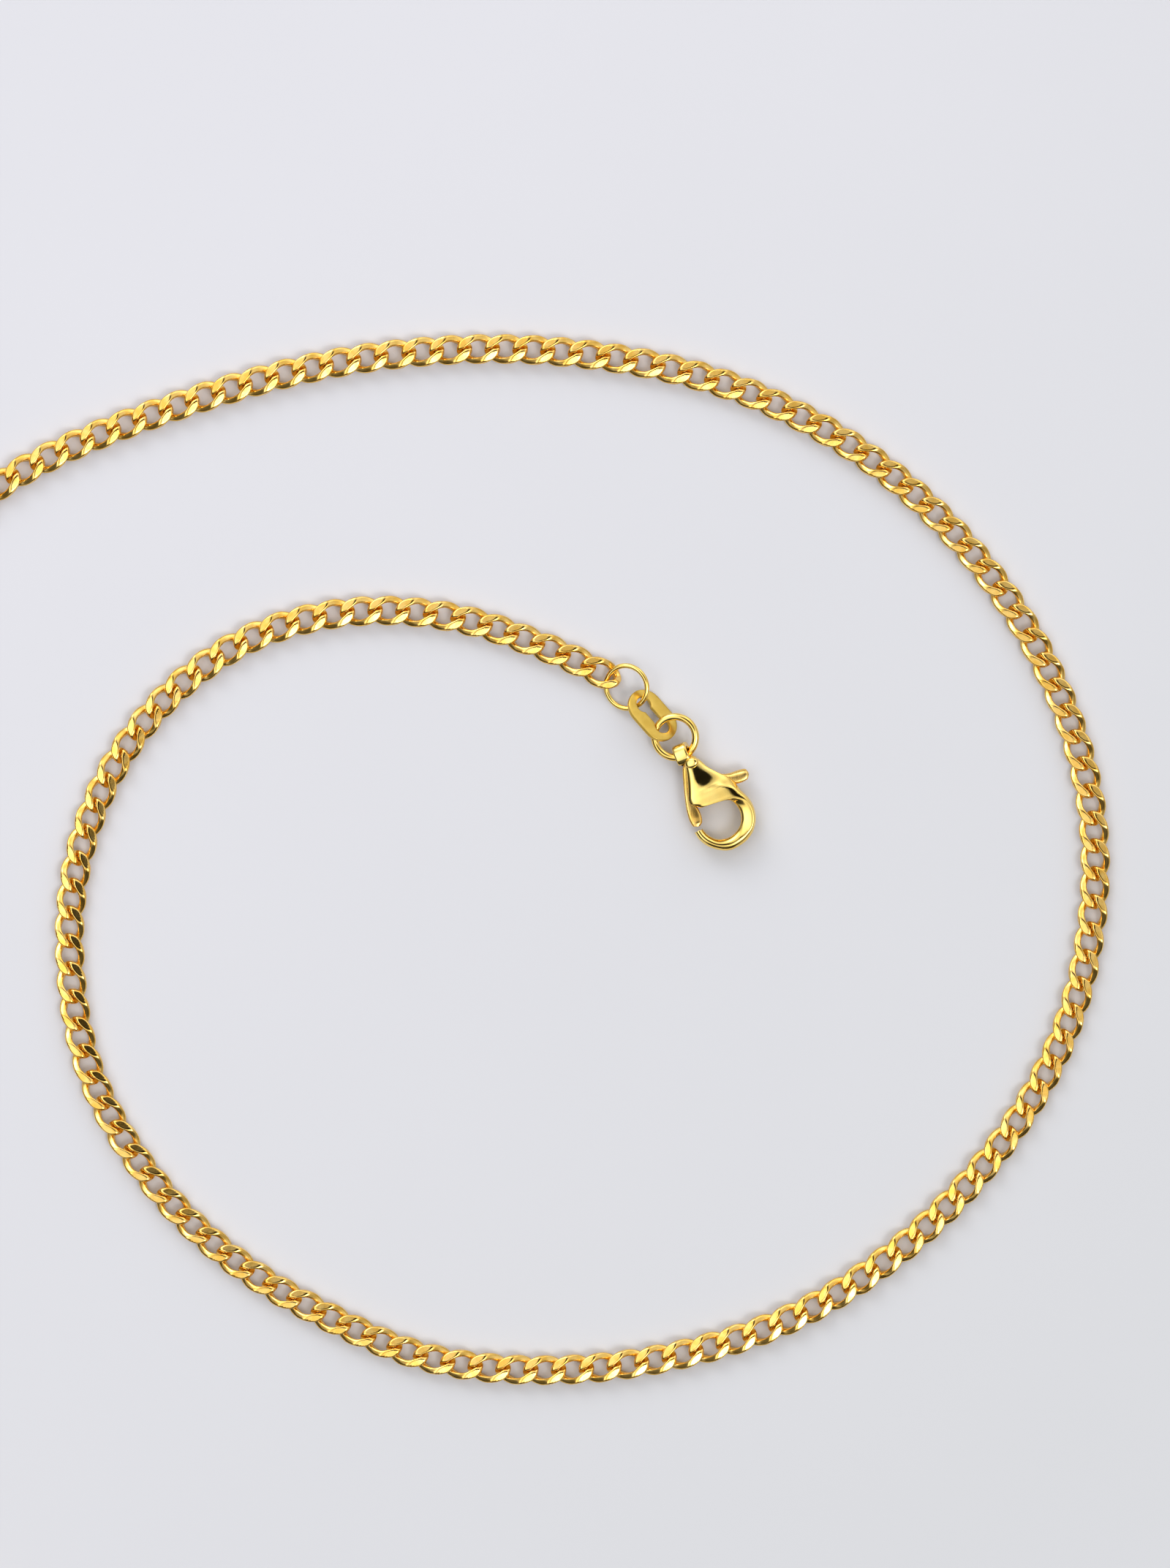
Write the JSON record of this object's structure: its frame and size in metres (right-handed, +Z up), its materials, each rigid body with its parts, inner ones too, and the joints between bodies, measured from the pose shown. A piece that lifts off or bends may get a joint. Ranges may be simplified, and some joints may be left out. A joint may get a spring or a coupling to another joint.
{
  "type": "chain necklace",
  "caption": "Gold curb chain necklace, laid flat in a loose spiral, with jump rings, a plain oval tag link and a sprung lobster clasp.",
  "frame": {"origin": "on the table under the middle of the laid-out necklace's box", "axes": "+Z up from the table; the chain lies flat in X and Y, its inner end with the clasp to the upper right of the middle and its far end at -Y"},
  "size_m": [0.1148, 0.1184, 0.0024],
  "materials": {
    "gold_polished": "polished yellow gold",
    "gold_satin": "satin yellow gold",
    "spring_steel": "plain spring strip"
  },
  "bodies": {
    "chain_01": {"chain_01": "gold_polished"},
    "chain_02": {"chain_02": "gold_polished"},
    "chain_03": {"chain_03": "gold_polished"},
    "chain_04": {"chain_04": "gold_polished"},
    "chain_05": {"chain_05": "gold_polished"},
    "chain_06": {"chain_06": "gold_polished"},
    "chain_07": {"chain_07": "gold_polished"},
    "chain_08": {"chain_08": "gold_polished"},
    "chain_09": {"chain_09": "gold_polished"},
    "chain_10": {"chain_10": "gold_polished"},
    "chain_11": {"chain_11": "gold_polished"},
    "chain_12": {"chain_12": "gold_polished"},
    "chain_13": {"chain_13": "gold_polished"},
    "chain_14": {"chain_14": "gold_polished"},
    "chain_15": {"chain_15": "gold_polished"},
    "chain_16": {"chain_16": "gold_polished"},
    "chain_17": {"chain_17": "gold_polished"},
    "chain_18": {"chain_18": "gold_polished"},
    "chain_19": {"chain_19": "gold_polished"},
    "chain_20": {"chain_20": "gold_polished"},
    "chain_21": {"chain_21": "gold_polished"},
    "chain_22": {"chain_22": "gold_polished"},
    "chain_23": {"chain_23": "gold_polished"},
    "chain_24": {"chain_24": "gold_polished"},
    "chain_25": {"chain_25": "gold_polished"},
    "chain_26": {"chain_26": "gold_polished"},
    "chain_27": {"chain_27": "gold_polished"},
    "chain_28": {"chain_28": "gold_polished"},
    "chain_29": {"chain_29": "gold_polished"},
    "chain_30": {"chain_30": "gold_polished"},
    "chain_31": {"chain_31": "gold_polished"},
    "chain_32": {"chain_32": "gold_polished"},
    "chain_33": {"chain_33": "gold_polished"},
    "chain_34": {"chain_34": "gold_polished"},
    "chain_35": {"chain_35": "gold_polished"},
    "chain_36": {"chain_36": "gold_polished"},
    "chain_37": {"chain_37": "gold_polished"},
    "chain_38": {"chain_38": "gold_polished"},
    "chain_39": {"chain_39": "gold_polished"},
    "chain_40": {"chain_40": "gold_polished"},
    "chain_41": {"chain_41": "gold_polished"},
    "chain_42": {"chain_42": "gold_polished"},
    "chain_43": {"chain_43": "gold_polished"},
    "chain_44": {"chain_44": "gold_polished"},
    "chain_45": {"chain_45": "gold_polished"},
    "big_ring": {"big_ring": "gold_polished"},
    "tag": {"tag": "gold_satin"},
    "small_ring": {"small_ring": "gold_polished"},
    "clasp": {"clasp_body": "gold_polished", "clasp_pin": "gold_polished", "clasp_spring": "spring_steel"},
    "clasp_lever": {"clasp_lever": "gold_polished"},
    "end_ring": {"end_ring": "gold_polished"}
  },
  "joints": [
    {"name": "bend_01", "type": "hinge", "parent": "chain_02", "child": "chain_01", "pos_m": [-0.04054, -0.04828, 0.0006], "axis": [0, 0, 1], "range_deg": [-9, 9]},
    {"name": "fold_02", "type": "hinge", "parent": "chain_03", "child": "chain_02", "pos_m": [-0.04452, -0.03964, 0.0006], "axis": [0.9234, 0.3838, 0], "range_deg": [-14, 14]},
    {"name": "bend_03", "type": "hinge", "parent": "chain_04", "child": "chain_03", "pos_m": [-0.04813, -0.03083, 0.0006], "axis": [0, 0, -1], "range_deg": [-9, 9]},
    {"name": "fold_04", "type": "hinge", "parent": "chain_05", "child": "chain_04", "pos_m": [-0.05134, -0.02186, 0.0006], "axis": [-0.9506, -0.3103, 0], "range_deg": [-14, 14]},
    {"name": "bend_05", "type": "hinge", "parent": "chain_06", "child": "chain_05", "pos_m": [-0.05389, -0.0127, 0.0006], "axis": [0, 0, 1], "range_deg": [-9, 9]},
    {"name": "fold_06", "type": "hinge", "parent": "chain_07", "child": "chain_06", "pos_m": [-0.05554, -0.00333, 0.0006], "axis": [0.9934, 0.1151, 0], "range_deg": [-14, 14]},
    {"name": "bend_07", "type": "hinge", "parent": "chain_08", "child": "chain_07", "pos_m": [-0.05609, 0.00617, 0.0006], "axis": [0, 0, -1], "range_deg": [-9, 9]},
    {"name": "fold_08", "type": "hinge", "parent": "chain_09", "child": "chain_08", "pos_m": [-0.05556, 0.01567, 0.0006], "axis": [-0.9919, 0.1267, 0], "range_deg": [-14, 14]},
    {"name": "bend_09", "type": "hinge", "parent": "chain_10", "child": "chain_09", "pos_m": [-0.05363, 0.02498, 0.0006], "axis": [0, 0, 1], "range_deg": [-9, 9]},
    {"name": "fold_10", "type": "hinge", "parent": "chain_11", "child": "chain_10", "pos_m": [-0.04989, 0.03372, 0.0006], "axis": [0.8658, -0.5004, 0], "range_deg": [-14, 14]},
    {"name": "bend_11", "type": "hinge", "parent": "chain_12", "child": "chain_11", "pos_m": [-0.04397, 0.04113, 0.0006], "axis": [0, 0, -1], "range_deg": [-9, 9]},
    {"name": "fold_12", "type": "hinge", "parent": "chain_13", "child": "chain_12", "pos_m": [-0.03649, 0.04699, 0.0006], "axis": [-0.5155, 0.8569, 0], "range_deg": [-14, 14]},
    {"name": "bend_13", "type": "hinge", "parent": "chain_14", "child": "chain_13", "pos_m": [-0.02789, 0.05105, 0.0006], "axis": [0, 0, 1], "range_deg": [-9, 9]},
    {"name": "fold_14", "type": "hinge", "parent": "chain_15", "child": "chain_14", "pos_m": [-0.0189, 0.05417, 0.0006], "axis": [0.2955, -0.9553, 0], "range_deg": [-14, 14]},
    {"name": "bend_15", "type": "hinge", "parent": "chain_16", "child": "chain_15", "pos_m": [-0.00968, 0.05654, 0.0006], "axis": [0, 0, -1], "range_deg": [-9, 9]},
    {"name": "fold_16", "type": "hinge", "parent": "chain_17", "child": "chain_16", "pos_m": [-0.00025, 0.05774, 0.0006], "axis": [-0.0662, 0.9978, 0], "range_deg": [-14, 14]},
    {"name": "bend_17", "type": "hinge", "parent": "chain_18", "child": "chain_17", "pos_m": [0.00926, 0.05774, 0.0006], "axis": [0, 0, 1], "range_deg": [-9, 9]},
    {"name": "fold_18", "type": "hinge", "parent": "chain_19", "child": "chain_18", "pos_m": [0.01869, 0.05644, 0.0006], "axis": [-0.2064, -0.9785, 0], "range_deg": [-14, 14]},
    {"name": "bend_19", "type": "hinge", "parent": "chain_20", "child": "chain_19", "pos_m": [0.02776, 0.0536, 0.0006], "axis": [0, 0, -1], "range_deg": [-9, 9]},
    {"name": "fold_20", "type": "hinge", "parent": "chain_21", "child": "chain_20", "pos_m": [0.03608, 0.04902, 0.0006], "axis": [0.5639, 0.8259, 0], "range_deg": [-14, 14]},
    {"name": "bend_21", "type": "hinge", "parent": "chain_22", "child": "chain_21", "pos_m": [0.04334, 0.04288, 0.0006], "axis": [0, 0, 1], "range_deg": [-9, 9]},
    {"name": "fold_22", "type": "hinge", "parent": "chain_23", "child": "chain_22", "pos_m": [0.04927, 0.03545, 0.0006], "axis": [-0.8395, -0.5433, 0], "range_deg": [-14, 14]},
    {"name": "bend_23", "type": "hinge", "parent": "chain_23", "child": "chain_24", "pos_m": [0.05356, 0.02697, 0.0006], "axis": [0, 0, -1], "range_deg": [-9, 9]},
    {"name": "fold_24", "type": "hinge", "parent": "chain_24", "child": "chain_25", "pos_m": [0.05587, 0.01776, 0.0006], "axis": [0.9936, 0.1128, 0], "range_deg": [-14, 14]},
    {"name": "bend_25", "type": "hinge", "parent": "chain_25", "child": "chain_26", "pos_m": [0.05571, 0.00827, 0.0006], "axis": [0, 0, 1], "range_deg": [-9, 9]},
    {"name": "fold_26", "type": "hinge", "parent": "chain_26", "child": "chain_27", "pos_m": [0.05334, -0.00093, 0.0006], "axis": [-0.9279, 0.3729, 0], "range_deg": [-14, 14]},
    {"name": "bend_27", "type": "hinge", "parent": "chain_27", "child": "chain_28", "pos_m": [0.04871, -0.00922, 0.0006], "axis": [0, 0, -1], "range_deg": [-9, 9]},
    {"name": "fold_28", "type": "hinge", "parent": "chain_28", "child": "chain_29", "pos_m": [0.0425, -0.01641, 0.0006], "axis": [0.6911, -0.7227, 0], "range_deg": [-14, 14]},
    {"name": "bend_29", "type": "hinge", "parent": "chain_29", "child": "chain_30", "pos_m": [0.03504, -0.0223, 0.0006], "axis": [0, 0, 1], "range_deg": [-9, 9]},
    {"name": "fold_30", "type": "hinge", "parent": "chain_30", "child": "chain_31", "pos_m": [0.0265, -0.02646, 0.0006], "axis": [-0.3326, 0.9431, 0], "range_deg": [-14, 14]},
    {"name": "bend_31", "type": "hinge", "parent": "chain_31", "child": "chain_32", "pos_m": [0.01728, -0.02879, 0.0006], "axis": [0, 0, -1], "range_deg": [-9, 9]},
    {"name": "fold_32", "type": "hinge", "parent": "chain_32", "child": "chain_33", "pos_m": [0.0078, -0.02946, 0.0006], "axis": [-0.019, -0.9998, 0], "range_deg": [-14, 14]},
    {"name": "bend_33", "type": "hinge", "parent": "chain_33", "child": "chain_34", "pos_m": [-0.00162, -0.02825, 0.0006], "axis": [0, 0, 1], "range_deg": [-9, 9]},
    {"name": "fold_34", "type": "hinge", "parent": "chain_34", "child": "chain_35", "pos_m": [-0.01034, -0.02448, 0.0006], "axis": [0.4585, 0.8887, 0], "range_deg": [-14, 14]},
    {"name": "bend_35", "type": "hinge", "parent": "chain_35", "child": "chain_36", "pos_m": [-0.01839, -0.01944, 0.0006], "axis": [0, 0, -1], "range_deg": [-9, 9]},
    {"name": "fold_36", "type": "hinge", "parent": "chain_36", "child": "chain_37", "pos_m": [-0.02503, -0.01265, 0.0006], "axis": [-0.8004, -0.5994, 0], "range_deg": [-14, 14]},
    {"name": "bend_37", "type": "hinge", "parent": "chain_37", "child": "chain_38", "pos_m": [-0.02972, -0.0044, 0.0006], "axis": [0, 0, 1], "range_deg": [-9, 9]},
    {"name": "fold_38", "type": "hinge", "parent": "chain_38", "child": "chain_39", "pos_m": [-0.03158, 0.0049, 0.0006], "axis": [0.9979, 0.0646, 0], "range_deg": [-14, 14]},
    {"name": "bend_39", "type": "hinge", "parent": "chain_39", "child": "chain_40", "pos_m": [-0.0309, 0.01436, 0.0006], "axis": [0, 0, -1], "range_deg": [-9, 9]},
    {"name": "fold_40", "type": "hinge", "parent": "chain_40", "child": "chain_41", "pos_m": [-0.02729, 0.02312, 0.0006], "axis": [-0.8471, 0.5314, 0], "range_deg": [-14, 14]},
    {"name": "bend_41", "type": "hinge", "parent": "chain_41", "child": "chain_42", "pos_m": [-0.02097, 0.03017, 0.0006], "axis": [0, 0, 1], "range_deg": [-9, 9]},
    {"name": "fold_42", "type": "hinge", "parent": "chain_42", "child": "chain_43", "pos_m": [-0.01255, 0.03449, 0.0006], "axis": [0.2705, -0.9627, 0], "range_deg": [-14, 14]},
    {"name": "bend_43", "type": "hinge", "parent": "chain_43", "child": "chain_44", "pos_m": [-0.00313, 0.03548, 0.0006], "axis": [0, 0, -1], "range_deg": [-9, 9]},
    {"name": "fold_44", "type": "hinge", "parent": "chain_44", "child": "chain_45", "pos_m": [0.00614, 0.0335, 0.0006], "axis": [0.3422, 0.9396, 0], "range_deg": [-14, 14]},
    {"name": "end_ring_swing", "type": "hinge", "parent": "chain_01", "child": "end_ring", "pos_m": [-0.03504, -0.05602, 0.0006], "axis": [0, 0, 1], "range_deg": [-11, 17]},
    {"name": "big_ring_swing", "type": "hinge", "parent": "chain_45", "child": "big_ring", "pos_m": [0.01484, 0.02965, 0.0006], "axis": [0, 0, 1], "range_deg": [-11, 17]},
    {"name": "tag_fold", "type": "hinge", "parent": "big_ring", "child": "tag", "pos_m": [0.01708, 0.02775, 0.00105], "axis": [0.7513, 0.66, 0], "range_deg": [-35, 35]},
    {"name": "small_ring_swing", "type": "hinge", "parent": "tag", "child": "small_ring", "pos_m": [0.01917, 0.02561, 0.00118], "axis": [0, 0, 1], "range_deg": [-21, 25]},
    {"name": "clasp_fold", "type": "hinge", "parent": "small_ring", "child": "clasp", "pos_m": [0.02082, 0.0232, 0.0011], "axis": [0.9232, 0.3843, 0], "range_deg": [-40, 40]},
    {"name": "lever_open", "type": "hinge", "parent": "clasp", "child": "clasp_lever", "pos_m": [0.02161, 0.02231, 0.00115], "axis": [0, 0, 1], "range_deg": [0, 20], "stiffness_Nm_per_rad": 0.0002, "springref_deg": -20.05, "deforming": ["clasp_spring"]}
  ]
}
